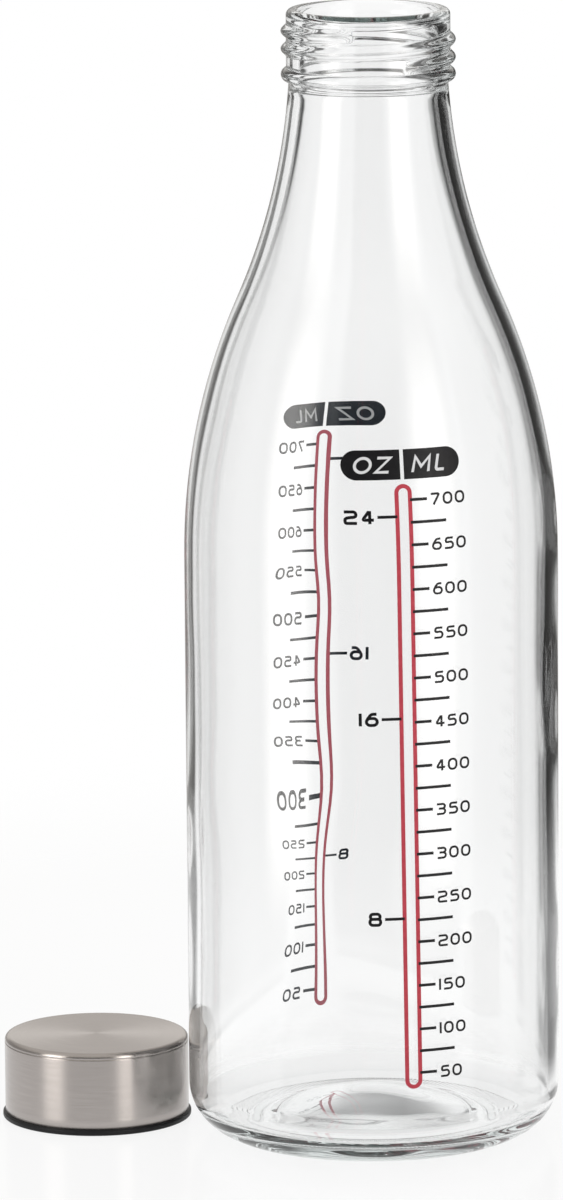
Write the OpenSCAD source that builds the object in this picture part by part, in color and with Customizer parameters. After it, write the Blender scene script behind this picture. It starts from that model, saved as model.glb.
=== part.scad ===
// Glass measuring bottle with a screw cap that stands beside it.
// Millimetres, Z up, origin on the bottle's axis in the plane it stands on.
// The front of the bottle faces -Y.

/* [Bottle] */
// Height of the bottle from its foot to the rim
height = 256; // [245:1:270]
// Outer radius of the straight body
body_r = 42; // [38:0.5:45]
// Thickness of the glass in the body, shoulder and neck
wall = 2.6; // [2:0.1:3]
// Height at which the straight body ends and the shoulder starts
shoulder_z = 133; // [120:1:142]
// Share of the shoulder's S-curve that is the rounded upper body, the rest is the hollow neck
shoulder_share = 0.5; // [0.4:0.02:0.6]
// Radius at which the S-curve would end, inside the finish
throat_r = 17.5; // [17:0.1:17.7]
// Depth below the rim at which the S-curve would end
throat_drop = 7; // [5:0.5:9]

/* [Base] */
// Radius of the rounded heel between the body and the foot
heel_r = 12; // [9:0.1:13]
// Radius of the corner inside the heel
inner_heel_r = 5; // [3:0.5:8]
// Thickness of the glass above the foot
base_t = 5; // [4:0.5:8]
// Width of the flat ring that the bottle stands on
foot_w = 3.3; // [2:0.1:5]
// Depth of the shallow recess inside the foot
recess_d = 0.8; // [0.4:0.1:1.5]
// Radius of the push-up under the base
punt_r = 23; // [18:0.5:24]
// Height of the push-up above the recess
punt_h = 4.7; // [3:0.1:6]
// Radius of the dome on the flat floor inside the bottle, over the push-up
dome_r = 23; // [18:0.5:24]
// Height of that dome
dome_h = 5; // [3:0.5:6]

/* [Mouth] */
// Radius of the straight bore through the mouth
bore_r = 15.6; // [15:0.1:16]
// Outer radius of the finish between the thread turns
finish_r = 18.3; // [18:0.1:18.6]
// Radius of the rounding outside the rim
lip_r = 1.3; // [0.8:0.1:1.4]
// Radius of the rounding inside the rim
inner_lip_r = 0.9; // [0.5:0.1:1]
// Depth of the ring bead below the rim
bead_drop = 14.6; // [13.5:0.1:16]
// Radius of the bead's round section
bead_r = 1.5; // [1.2:0.05:1.6]
// How far the bead stands out from the finish
bead_out = 1.2; // [1:0.05:1.4]

/* [Thread] */
// Rise of the thread in one turn
pitch = 4; // [3.6:0.05:4.2]
// How far the bottle's thread stands out from the finish
thread_out = 1.2; // [1:0.05:1.4]
// Height of the thread's section at its root
thread_w = 2.5; // [2:0.1:2.8]
// Turns of thread on the bottle
neck_turns = 1.9; // [1.4:0.1:2.1]
// Turns of thread inside the cap
cap_turns = 1.3; // [1:0.1:1.6]
// Depth of the thread's lower end below the rim
thread_drop = 11.6; // [11:0.1:12]
// Direction in which the lower end of each thread lies, in degrees from +X
thread_start_angle = -65; // [-180:5:180]
// Space between the two threads when the cap is screwed on
thread_gap = 0.35; // [0.2:0.05:0.5]

/* [Print] */
// Thickness of the fired enamel
enamel_t = 0.1; // [0.08:0.01:0.2]
// Distance between two labelled millilitre marks, 50 ml of the body's bore
ml_step = 9.95; // [9.6:0.05:10.2]
// Number of labelled millilitre marks
ml_marks = 14; // [10:1:14]
// Number of ounce marks
oz_marks = 3; // [1:1:3]
// Height of the scale's zero above the foot
zero_z = 12.75; // [11.5:0.05:14]
// Thickness of a mark
mark_t = 0.6; // [0.4:0.05:0.8]
// Length of a labelled millilitre mark
short_mark = 3.4; // [3:0.1:4]
// Length of the mark half way between two labelled ones
long_mark = 7.7; // [6:0.1:9]
// Length of an ounce mark
oz_mark = 3.9; // [3:0.1:5]
// Width of the tube outline, outside
tube_w = 3.9; // [3.4:0.1:5]
// Width of the tube's line
tube_line = 0.92; // [0.6:0.02:1.2]
// How far the tube's round end reaches below the scale's first mark
tube_tail = 3.6; // [3:0.1:6]
// How far the tube's round end reaches above the scale's last mark
tube_head = 3.5; // [2.4:0.1:4]
// Width of the header plate
header_w = 26.5; // [20:0.5:30]
// Height of the header plate
header_h = 6.5; // [5:0.1:8]
// Space between the header's two halves
header_gap = 0.8; // [0.6:0.1:2]
// Space between the header and the tube
header_rise = 1; // [0.4:0.1:2]
// Direction of the front print's middle, in degrees from the front
front_angle = 10.7; // [-20:0.1:20]
// Direction of the rear print's middle, in degrees from the back
rear_angle = 15.6; // [-20:0.1:20]
// Slant of the front print, in degrees
front_slant_angle = 0.65; // [-1.5:0.05:1.5]
// Slant of the rear print, in degrees
rear_slant_angle = 1.15; // [-1.5:0.05:1.5]
// How much lower the rear print sits than the front one
rear_drop = 1; // [0:0.1:2]

/* [Cap] */
// Thickness of the insert's wall, under the steel shell
insert_wall = 0.75; // [0.7:0.05:1.4]
// Height of the cap
cap_h = 19; // [18:0.5:22]
// Thickness of the steel sheet
sheet_t = 0.4; // [0.3:0.05:0.5]
// Radius of the rolled edge round the top
cap_edge_r = 1.2; // [0.8:0.1:1.6]
// Width of the fine groove below the rolled edge
groove_w = 0.4; // [0.2:0.05:0.6]
// Depth of that groove
groove_d = 0.15; // [0.05:0.05:0.2]
// How far the plastic flange stands out below the shell
flange_out = 0.55; // [0.5:0.05:1.5]
// Height of the plastic flange
flange_h = 1.4; // [1.2:0.1:2.5]
// Thickness of the insert's top
insert_top_t = 1; // [0.8:0.1:1.4]
// Thickness of the sealing disc
seal_t = 1.2; // [0.8:0.1:1.6]
// Space round the sealing disc
seal_gap = 0.35; // [0.2:0.05:0.6]
// Space between the bottle and the cap that stands beside it
cap_gap = 1.5; // [0.5:0.25:20]
// Direction of the cap from the bottle, in degrees behind its left side
cap_angle = 13.2; // [-30:0.1:60]

/* [Hidden] */
$fn = 96;

// Steps in each arc of an outline, and in one turn of a thread
arc_steps = 12;
corner_steps = 5;
turn_steps = 30;
// Degrees between the points of a thread's half-round section
section_angle = 45;
// How deep a thread's root lies inside the wall that carries it
root_depth = 0.4;
// Height that is left at a thread's very end, and the degrees over which it dies away to that
thread_end_share = 0.2;
thread_fade_angle = 25;
// Cuts and extrusions run this far past what they meet
overrun = 1;

throat_z = height - throat_drop;
bead_z = height - bead_drop;
bearing_r = body_r - heel_r;

// The S-curve is two arcs that meet with one tangent: both radii follow from its width and height.
curve_w = body_r - throat_r;
curve_h = throat_z - shoulder_z;
curve_sum = (curve_w * curve_w + curve_h * curve_h) / (2 * curve_w);
round_r = shoulder_share * curve_sum;
hollow_r = curve_sum - round_r;
meet_angle = asin(curve_h / curve_sum);

// The ounce marks are eight imperial fluid ounces apart, 227.3 ml, on the scale of the 50 ml marks.
oz_mark_share = 227.3 / 50;
oz_step = ml_step * oz_mark_share;
tube_low = zero_z + ml_step - tube_tail;
tube_high = zero_z + ml_marks * ml_step + tube_head;
print_mid = (tube_low + tube_high) / 2;

// Inside of the cap: the root of its thread clears the bottle's thread.
cap_root_r = finish_r + thread_out + thread_gap;
cap_r = cap_root_r + insert_wall + sheet_t;
flange_r = cap_r + flange_out;
insert_roof_z = cap_h - sheet_t - insert_top_t;
cap_away = body_r + cap_gap + flange_r;

enamel_black = [0.06, 0.055, 0.06];
enamel_red = [0.70, 0.22, 0.28];
glass_tint = [0.86, 0.92, 0.92, 0.35];
steel_tint = [0.72, 0.70, 0.67];
insert_tint = [0.05, 0.05, 0.055];
seal_tint = [0.90, 0.90, 0.88];

// Points of an arc round [x, z] from angle a to angle b.
function arc(x, z, r, a, b, steps) =
    [for (i = [0:steps]) let (t = a + (b - a) * i / steps) [x + r * cos(t), z + r * sin(t)]];

function reversed(points) = [for (i = [len(points) - 1:-1:0]) points[i]];

// Radius of the sphere whose cap is w wide from the axis and h high, and half its opening angle.
function dome_radius(w, h) = (w * w + h * h) / (2 * h);
function dome_angle(w, h) = asin(w / dome_radius(w, h));

// A dome from the axis down to radius w at level z.
function dome(w, h, z) =
    let (r = dome_radius(w, h)) arc(0, z + h - r, r, 90, 90 - dome_angle(w, h), arc_steps);

// The rounded upper body and the hollow neck, moved out by off, up to the level top_z.
function round_side(off) = arc(body_r - round_r, shoulder_z, round_r + off, 0, meet_angle, arc_steps);
function hollow_side(off, top_z) =
    let (r = hollow_r - off, x = throat_r + hollow_r, end = asin((throat_z - top_z) / r))
    [for (p = arc(0, 0, r, meet_angle, end, arc_steps)) [x - p[0], throat_z - p[1]]];

// Level at which the hollow neck, seen from inside, has narrowed to the bore.
bore_low_z = throat_z - sqrt(pow(hollow_r + wall, 2) - pow(throat_r + hollow_r - bore_r, 2));

module outer_and_inner_outline() {
    bead_x = finish_r + bead_out - bead_r;
    inner_flat_r = body_r - wall - inner_heel_r;
    polygon(concat(
        dome(punt_r, punt_h, recess_d),
        [[bearing_r - foot_w, recess_d], [bearing_r - foot_w, 0]],
        arc(bearing_r, heel_r, heel_r, -90, 0, arc_steps),
        round_side(0),
        hollow_side(0, bead_z - bead_r),
        arc(bead_x, bead_z, bead_r, -90, 90, arc_steps),
        [[finish_r, bead_z + bead_r]],
        arc(finish_r - lip_r, height - lip_r, lip_r, 0, 90, corner_steps),
        arc(bore_r + inner_lip_r, height - inner_lip_r, inner_lip_r, 90, 180, corner_steps),
        reversed(hollow_side(-wall, bore_low_z)),
        reversed(round_side(-wall)),
        reversed(arc(inner_flat_r, base_t + inner_heel_r, inner_heel_r, -90, 0, arc_steps)),
        reversed(dome(dome_r, dome_h, base_t))
    ));
}

// One rounded ridge that climbs round the axis: side is 1 on the outside of a wall, -1 on its inside.
// Its section is half an ellipse on a root that lies inside the wall.
module helical_ridge(r, out, w, turns, side) {
    section_at = [-90:section_angle:90];
    steps = round(turn_steps * turns);
    function fade(i) =
        let (a = 360 * turns * min(i, steps - i) / steps)
        thread_end_share + (1 - thread_end_share) * min(1, a / thread_fade_angle);
    function ring(i) =
        let (f = fade(i), a = 360 * turns * i / steps, z = pitch * turns * i / steps)
        [for (t = section_at)
            let (x = r + side * ((f * out + root_depth) * cos(t) - root_depth))
            [x * cos(a), x * sin(a), z + f * w / 2 * sin(t)]];
    rings = [for (i = [0:steps]) ring(i)];
    n = len(rings[0]);
    walls = [for (i = [0:steps - 1], j = [0:n - 1])
        let (a = i * n + j, b = i * n + (j + 1) % n) each [[a, b, b + n], [a, b + n, a + n]]];
    ends = [for (j = [1:n - 2]) each [[0, j + 1, j], [steps * n, steps * n + j, steps * n + j + 1]]];
    faces = concat(walls, ends);
    polyhedron([for (q = rings) each q], side > 0 ? faces : [for (q = faces) reversed(q)]);
}

module glass_bottle() {
    color(glass_tint) {
        rotate_extrude() outer_and_inner_outline();
        translate([0, 0, height - thread_drop])
            rotate([0, 0, thread_start_angle])
                helical_ridge(finish_r, thread_out, thread_w, neck_turns, 1);
    }
}

// Thin skin on the outside of the body and the rounded shoulder.
module enamel_skin() {
    rotate_extrude()
        polygon(concat(
            [[body_r, heel_r]], round_side(0),
            reversed(round_side(enamel_t)), [[body_r + enamel_t, heel_r]]
        ));
}

// Artwork drawn flat, x to the right and y up from the foot, laid on the glass.
module fired(turn, slant, drop) {
    intersection() {
        enamel_skin();
        rotate([0, 0, turn])
            translate([0, 0, print_mid - drop])
                rotate([90, 0, 0])
                    linear_extrude(body_r + overrun)
                        rotate(slant)
                            translate([0, -print_mid])
                                children();
    }
}

module header_art() {
    low = tube_high + header_rise;
    end_r = header_h / 2;
    difference() {
        union() {
            translate([-header_w / 2 + end_r, low]) square([header_w - header_h, header_h]);
            for (x = [-1, 1])
                translate([x * (header_w / 2 - end_r), low + end_r]) circle(end_r);
        }
        translate([-header_gap / 2, low - overrun]) square([header_gap, header_h + 2 * overrun]);
    }
}

// A capsule of half width r with its middle line at x = 0.
module capsule(r, low, high) {
    translate([-r, low + r]) square([2 * r, high - low - 2 * r]);
    for (y = [low + r, high - r]) translate([0, y]) circle(r);
}

module tube_art() {
    difference() {
        capsule(tube_w / 2, tube_low, tube_high);
        capsule(tube_w / 2 - tube_line, tube_low + tube_line, tube_high - tube_line);
    }
}

module ml_art() {
    for (i = [2:2 * ml_marks])
        translate([tube_w / 2, zero_z + i * ml_step / 2 - mark_t / 2])
            square([i % 2 == 0 ? short_mark : long_mark, mark_t]);
}

module oz_art() {
    for (i = [1:oz_marks])
        translate([-tube_w / 2 - oz_mark, zero_z + i * oz_step - mark_t / 2])
            square([oz_mark, mark_t]);
}

module front_print() { fired(front_angle, front_slant_angle, 0) children(); }
module rear_print() { fired(180 + rear_angle, rear_slant_angle, rear_drop) children(); }

module front_header() { color(enamel_black) front_print() header_art(); }
module front_tube() { color(enamel_red) front_print() tube_art(); }
module front_ml_marks() { color(enamel_black) front_print() ml_art(); }
module front_oz_marks() { color(enamel_black) front_print() oz_art(); }
module rear_header() { color(enamel_black) rear_print() header_art(); }
module rear_tube() { color(enamel_red) rear_print() tube_art(); }
module rear_ml_marks() { color(enamel_black) rear_print() ml_art(); }
module rear_oz_marks() { color(enamel_black) rear_print() oz_art(); }

module at_cap() { translate([-cap_away * cos(cap_angle), cap_away * sin(cap_angle), 0]) children(); }

// Outside of the insert under the shell, which is also the inside of the shell.
function shell_inside() =
    let (x = cap_r - cap_edge_r, z = cap_h - cap_edge_r)
    concat([[cap_r - sheet_t, flange_h]], arc(x, z, cap_edge_r - sheet_t, 0, 90, corner_steps));

module cap_shell() {
    groove_z = cap_h - cap_edge_r - groove_w;
    color(steel_tint) at_cap() rotate_extrude()
        polygon(concat(
            shell_inside(), [[0, cap_h - sheet_t], [0, cap_h]],
            reversed(arc(cap_r - cap_edge_r, cap_h - cap_edge_r, cap_edge_r, 0, 90, corner_steps)),
            [[cap_r - groove_d, groove_z + groove_w / 2], [cap_r, groove_z], [cap_r, flange_h]]
        ));
}

module cap_insert() {
    edge = flange_h / 3;
    color(insert_tint) at_cap() {
        rotate_extrude()
            polygon(concat(
                [[0, insert_roof_z], [cap_root_r, insert_roof_z], [cap_root_r, 0]],
                arc(flange_r - edge, edge, edge, -90, 0, corner_steps),
                arc(flange_r - edge, flange_h - edge, edge, 0, 90, corner_steps),
                shell_inside(), [[0, cap_h - sheet_t]]
            ));
        translate([0, 0, flange_h + thread_w / 2])
            rotate([0, 0, thread_start_angle])
                helical_ridge(cap_root_r, thread_out, thread_w, cap_turns, -1);
    }
}

module cap_seal() {
    color(seal_tint) at_cap()
        translate([0, 0, insert_roof_z - seal_t]) cylinder(h = seal_t, r = cap_root_r - seal_gap);
}

glass_bottle();
front_header();
front_tube();
front_ml_marks();
front_oz_marks();
rear_header();
rear_tube();
rear_ml_marks();
rear_oz_marks();
cap_shell();
cap_insert();
cap_seal();
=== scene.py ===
import math

import bmesh
import bpy
from mathutils import Matrix, Vector
from mathutils.geometry import tessellate_polygon


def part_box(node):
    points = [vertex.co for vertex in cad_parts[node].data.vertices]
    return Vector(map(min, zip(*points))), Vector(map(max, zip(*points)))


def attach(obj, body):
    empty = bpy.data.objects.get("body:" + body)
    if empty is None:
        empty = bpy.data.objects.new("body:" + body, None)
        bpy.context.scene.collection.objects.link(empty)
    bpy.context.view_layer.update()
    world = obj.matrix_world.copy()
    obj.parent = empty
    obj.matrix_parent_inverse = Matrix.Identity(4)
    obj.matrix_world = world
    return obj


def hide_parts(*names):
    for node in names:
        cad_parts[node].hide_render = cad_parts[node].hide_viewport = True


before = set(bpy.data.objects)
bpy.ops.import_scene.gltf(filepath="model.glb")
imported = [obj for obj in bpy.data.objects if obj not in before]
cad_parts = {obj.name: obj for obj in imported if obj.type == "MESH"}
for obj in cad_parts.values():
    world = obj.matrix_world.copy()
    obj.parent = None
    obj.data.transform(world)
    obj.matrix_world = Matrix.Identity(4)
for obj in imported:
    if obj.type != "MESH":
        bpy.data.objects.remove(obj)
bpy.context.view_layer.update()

# The glass bottle
# One piece of clear soda-lime glass. The neck's finish is pressed first, then the body is blown
# into its mould, so the outside is true and the inside a little uneven. It stands on a narrow
# ring with fine radial knurling, round a push-up.
mm = 0.001
height = 256 * mm
body_radius = 42 * mm
wall = 2.6 * mm
shoulder_z = 133 * mm
throat_radius = 17.5 * mm
throat_z = 249 * mm
round_share = 0.5
curve_wide = body_radius - throat_radius
curve_high = throat_z - shoulder_z
curve_sum = (curve_wide ** 2 + curve_high ** 2) / (2 * curve_wide)
round_radius = round_share * curve_sum
hollow_radius = curve_sum - round_radius
meet_angle = math.degrees(math.asin(curve_high / curve_sum))

heel_radius = 12 * mm
inner_heel_radius = 5 * mm
base_thick = 5 * mm
foot_outer = body_radius - heel_radius
foot_inner = foot_outer - 3.3 * mm
foot_ease = 4 * mm
foot_ease_inside = 2.5 * mm
knurl_step = 0.4 * mm
recess = 0.8 * mm
push_up_radius = 23 * mm
push_up_high = 4.7 * mm
inner_dome_high = 5 * mm
inner_dome_radius = 23 * mm
inner_dome_ease = 0.8 * mm

bore_radius = 15.6 * mm
finish_radius = 18.3 * mm
lip_radius = 1.3 * mm
inner_lip_radius = 0.9 * mm
bead_z = height - 14.6 * mm
bead_radius = 1.5 * mm
bead_stand_out = 1.2 * mm
bead_middle = finish_radius + bead_stand_out - bead_radius
even_rim = 12 * mm
even_fade = 20 * mm

segments = 250
knurls = 200
knurl_segments = 4 * segments


def arc(x, z, radius, start, end, steps):
    """Points of an arc round (x, z), angles in degrees."""
    turns = [math.radians(start + (end - start) * i / steps) for i in range(steps + 1)]
    return [(x + radius * math.cos(t), z + radius * math.sin(t)) for t in turns]


def dome(wide, high, z, steps):
    """Points of a dome from the axis down to the radius wide at level z."""
    radius = (wide ** 2 + high ** 2) / (2 * high)
    return arc(0, z + high - radius, radius, 90,
               90 - math.degrees(math.asin(wide / radius)), steps)


def round_side(off, steps):
    """The shoulder's round curve, that far off the outside."""
    return arc(body_radius - round_radius, shoulder_z, round_radius + off, 0, meet_angle, steps)


def hollow_side(off, top_z, steps):
    """The hollow curve from the shoulder into the neck, that far off the outside."""
    radius = hollow_radius - off
    end = math.degrees(math.asin((throat_z - top_z) / radius))
    return [(throat_radius + hollow_radius - x, throat_z - z)
            for x, z in arc(0, 0, radius, meet_angle, end, steps)]


def upright(x, low, high, steps):
    """Points of a straight upright wall."""
    return [(x, low + (high - low) * i / steps) for i in range(steps + 1)]


def bottle_outline():
    """Rings of the bottle from under its middle, over the rim and down inside:
    radius, level, segments, share of the blown unevenness, share of the knurling."""
    steps = 12
    outside = dome(push_up_radius, push_up_high, recess, 14)
    outside += [(foot_inner - foot_ease_inside + foot_ease * i / steps,
                 recess * (0.5 + 0.5 * math.cos(math.pi * i / steps))) for i in range(steps + 1)]
    rings = [(x, z, segments, 0, 0) for x, z in outside]
    knurled = [(foot_outer - knurl_step * i, 0) for i in range(4, 0, -1)]
    heel = arc(foot_outer, heel_radius, heel_radius, -90, 0, 60)
    knurled += heel[:11]
    for i, (x, z) in enumerate(knurled):
        share = min(1, i / 2, (len(knurled) - 1 - i) / 3)
        rings.append((x, z, knurl_segments, 0, share))
    plain = heel[12::2]
    plain += upright(body_radius, heel_radius, shoulder_z, 6)[1:]
    plain += round_side(0, 18)[1:]
    plain += hollow_side(0, bead_z - bead_radius, 18)[1:]
    plain += arc(bead_middle, bead_z, bead_radius, -80, 90, 14)
    thread_foot = bead_z + bead_radius
    plain += upright(finish_radius, thread_foot, height - lip_radius, 46)
    plain += arc(finish_radius - lip_radius, height - lip_radius, lip_radius, 0, 90, 7)[1:]
    plain += arc(bore_radius + inner_lip_radius, height - inner_lip_radius, inner_lip_radius,
                 90, 180, 6)
    rings += [(x, z, segments, 0, 0) for x, z in plain]

    bore_low = throat_z - math.sqrt((hollow_radius + wall) ** 2
                                    - (throat_radius + hollow_radius - bore_radius) ** 2)
    inside = upright(bore_radius, bore_low, height - inner_lip_radius, 8)[:0:-1]
    inside += hollow_side(-wall, bore_low, 26)[::-1]
    inside += round_side(-wall, 22)[-2::-1]
    flat = body_radius - wall - inner_heel_radius
    inside += upright(body_radius - wall, base_thick + inner_heel_radius, shoulder_z, 40)[-2:0:-1]
    inside += arc(flat, base_thick + inner_heel_radius, inner_heel_radius, -90, 0, 10)[::-1]
    inside += [(flat + (inner_dome_radius + inner_dome_ease - flat) * i / 5, base_thick)
               for i in range(1, 6)]
    inside += dome(inner_dome_radius, inner_dome_high, base_thick, 20)[-2::-1]
    for x, z in inside:
        share = min(1, max(0, (height - even_rim - z) / even_fade))
        rings.append((x, z, segments, share, 0))
    return rings


def on_axis(ring):
    """Whether a ring is a single point on the axis."""
    return ring[0] < 0.0001 * mm


def turned_mesh(name, rings, centre=(0, 0)):
    """A smooth mesh through rings (radius, level, segments, ...), closed where it starts or
    ends on the axis. Rings of four times the segments join with fans."""
    points, faces, first = [], [], []
    for ring in rings:
        radius, z, count = ring[:3]
        first.append(len(points))
        if on_axis(ring):
            points.append((centre[0], centre[1], z))
            continue
        for j in range(count):
            turn = 2 * math.pi * j / count
            points.append((centre[0] + radius * math.cos(turn),
                           centre[1] + radius * math.sin(turn), z))
    for i in range(len(rings) - 1):
        low, high = rings[i], rings[i + 1]
        a, b, n, m = first[i], first[i + 1], low[2], high[2]
        if on_axis(low):
            faces += [(a, b + (j + 1) % m, b + j) for j in range(m)]
        elif on_axis(high):
            faces += [(a + j, a + (j + 1) % n, b) for j in range(n)]
        elif n == m:
            faces += [(a + j, a + (j + 1) % n, b + (j + 1) % n, b + j) for j in range(n)]
        else:
            few, many, turned = (a, b, 1) if n < m else (b, a, -1)
            count, share = min(n, m), max(n, m) // min(n, m)
            for j in range(count):
                here, there = few + j, few + (j + 1) % count
                fine = [many + (share * j + k) % (share * count) for k in range(share + 1)]
                half = share // 2
                fan = [(here, fine[k + 1], fine[k]) for k in range(half)]
                fan += [(here, there, fine[half])]
                fan += [(there, fine[k + 1], fine[k]) for k in range(half, share)]
                faces += [face[::turned] for face in fan]
    mesh = bpy.data.meshes.new(name)
    mesh.from_pydata(points, [], faces)
    mesh.polygons.foreach_set("use_smooth", [True] * len(mesh.polygons))
    return mesh


def new_piece(name, mesh):
    """An object for the mesh, in the scene."""
    piece = bpy.data.objects.new(name, mesh)
    bpy.context.scene.collection.objects.link(piece)
    return piece


def ring_values(rings, index):
    """One value of each ring, spread over the points of that ring."""
    spread = []
    for ring in rings:
        spread += [ring[index]] * (1 if on_axis(ring) else ring[2])
    return spread


def feed(tree, node, inputs):
    """Fills the node's inputs, each with a value of another node or a plain one."""
    for name, value in inputs.items():
        if isinstance(value, bpy.types.NodeSocket):
            tree.links.new(value, node.inputs[name])
        else:
            node.inputs[name].default_value = value


def new_node(tree, kind, inputs=(), **settings):
    """A node of that kind with its settings, then its inputs, filled."""
    node = tree.nodes.new(kind)
    for name, setting in settings.items():
        setattr(node, name, setting)
    feed(tree, node, dict(inputs))
    return node


def reckon(tree, operation, *values):
    """One sum on the values, under Blender's name for it."""
    return new_node(tree, "ShaderNodeMath", enumerate(values), operation=operation).outputs[0]


def plus(tree, first, second):
    return reckon(tree, "ADD", first, second)


def less(tree, first, second):
    return reckon(tree, "SUBTRACT", first, second)


def times(tree, first, second):
    return reckon(tree, "MULTIPLY", first, second)


def over(tree, first, second):
    return reckon(tree, "DIVIDE", first, second)


def place(tree, x, y, z):
    """A place or a move from its three parts."""
    return new_node(tree, "ShaderNodeCombineXYZ", {"X": x, "Y": y, "Z": z}).outputs[0]


def parts_of(tree, vector):
    """The three parts of a place or a move."""
    return new_node(tree, "ShaderNodeSeparateXYZ", {"Vector": vector}).outputs


def point_parts(tree):
    """x, y and z of each point of a mesh."""
    return parts_of(tree, new_node(tree, "GeometryNodeInputPosition").outputs[0])


def from_axis(tree, x, y):
    """How far (x, y) is from the axis."""
    return reckon(tree, "SQRT", plus(tree, times(tree, x, x), times(tree, y, y)))


def kept_value(tree, kind, name):
    """The value that a mesh keeps under that name."""
    return new_node(tree, "GeometryNodeInputNamedAttribute", {"Name": name},
                    data_type=kind).outputs["Attribute"]


def noise_at(tree, where, scale, detail):
    """Smooth noise about 0.5 at a place."""
    return new_node(tree, "ShaderNodeTexNoise", {
        "Vector": where, "Scale": scale, "Detail": detail}).outputs[0]


def shape_tree(name, sizes):
    """A Geometry Nodes tree with a mesh in and out and a named input for each size."""
    kinds = {"Material": "NodeSocketMaterial", "Numerals": "NodeSocketCollection"}
    tree = bpy.data.node_groups.new(name, "GeometryNodeTree")
    tree.interface.new_socket(name="Mesh", in_out="INPUT", socket_type="NodeSocketGeometry")
    for size in sizes:
        tree.interface.new_socket(name=size, in_out="INPUT",
                                  socket_type=kinds.get(size, "NodeSocketFloat"))
    tree.interface.new_socket(name="Mesh", in_out="OUTPUT", socket_type="NodeSocketGeometry")
    given = tree.nodes.new("NodeGroupInput").outputs
    made = tree.nodes.new("NodeGroupOutput").inputs[0]
    return tree, given, made


def shape_with(piece, tree, sizes):
    """Runs the tree on the piece with these sizes, and leaves the plain mesh that it makes."""
    modifier = piece.modifiers.new(tree.name, "NODES")
    modifier.node_group = tree
    for item in tree.interface.items_tree:
        if item.in_out == "INPUT" and item.name in sizes:
            modifier[item.identifier] = sizes[item.name]
    view = bpy.context.evaluated_depsgraph_get()
    mesh = bpy.data.meshes.new_from_object(piece.evaluated_get(view), depsgraph=view)
    piece.modifiers.clear()
    piece.data = mesh


def finish_tree(tree, shaped, material, made):
    """Ends a tree in Realize Instances and Set Material."""
    real = new_node(tree, "GeometryNodeRealizeInstances", {"Geometry": shaped})
    painted = new_node(tree, "GeometryNodeSetMaterial", {
        "Geometry": real.outputs[0], "Material": material})
    tree.links.new(painted.outputs[0], made)


def pushed_out(tree, mesh, x, y, share, lift):
    """The mesh with its points moved out by a share of their distance from the axis, and up."""
    move = place(tree, times(tree, x, share), times(tree, y, share), lift)
    return new_node(tree, "GeometryNodeSetPosition", {
        "Geometry": mesh, "Offset": move}).outputs[0]


def thread_tree():
    """A rounded ridge that climbs round the axis on one wall, outward or inward."""
    tree, given, made = shape_tree("screw_thread", [
        "Wall radius", "Side", "Stand-out", "Ridge height", "Pitch", "Turns", "Lower end",
        "Start direction", "Fade", "Wall tolerance", "Centre X", "Centre Y", "Material"])
    x, y, z = point_parts(tree)
    x = less(tree, x, given["Centre X"])
    y = less(tree, y, given["Centre Y"])
    radius = from_axis(tree, x, y)
    turn = less(tree, reckon(tree, "ARCTAN2", y, x), given["Start direction"])
    turn = reckon(tree, "FRACT", over(tree, turn, 2 * math.pi))
    climb = over(tree, less(tree, z, given["Lower end"]), given["Pitch"])
    nearest = reckon(tree, "ROUND", less(tree, climb, turn))
    last = reckon(tree, "FLOOR", less(tree, given["Turns"], turn))
    nearest = reckon(tree, "MINIMUM", reckon(tree, "MAXIMUM", nearest, 0), last)
    along = plus(tree, turn, nearest)
    away = times(tree, less(tree, climb, along), given["Pitch"])
    half = over(tree, away, over(tree, given["Ridge height"], 2))
    rise = reckon(tree, "MAXIMUM", less(tree, 1, times(tree, half, half)), 0)
    rise = reckon(tree, "POWER", rise, 1.3)
    to_end = reckon(tree, "MINIMUM", along, less(tree, given["Turns"], along))
    fade = reckon(tree, "MINIMUM", over(tree, to_end, given["Fade"]), 1)
    fade = reckon(tree, "SINE", times(tree, fade, math.pi / 2))
    off_wall = reckon(tree, "ABSOLUTE", less(tree, radius, given["Wall radius"]))
    on_wall = reckon(tree, "LESS_THAN", off_wall, given["Wall tolerance"])
    out = times(tree, times(tree, rise, fade), times(tree, given["Stand-out"], given["Side"]))
    share = over(tree, times(tree, out, on_wall), radius)
    finish_tree(tree, pushed_out(tree, given["Mesh"], x, y, share, 0), given["Material"], made)
    return tree


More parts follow.
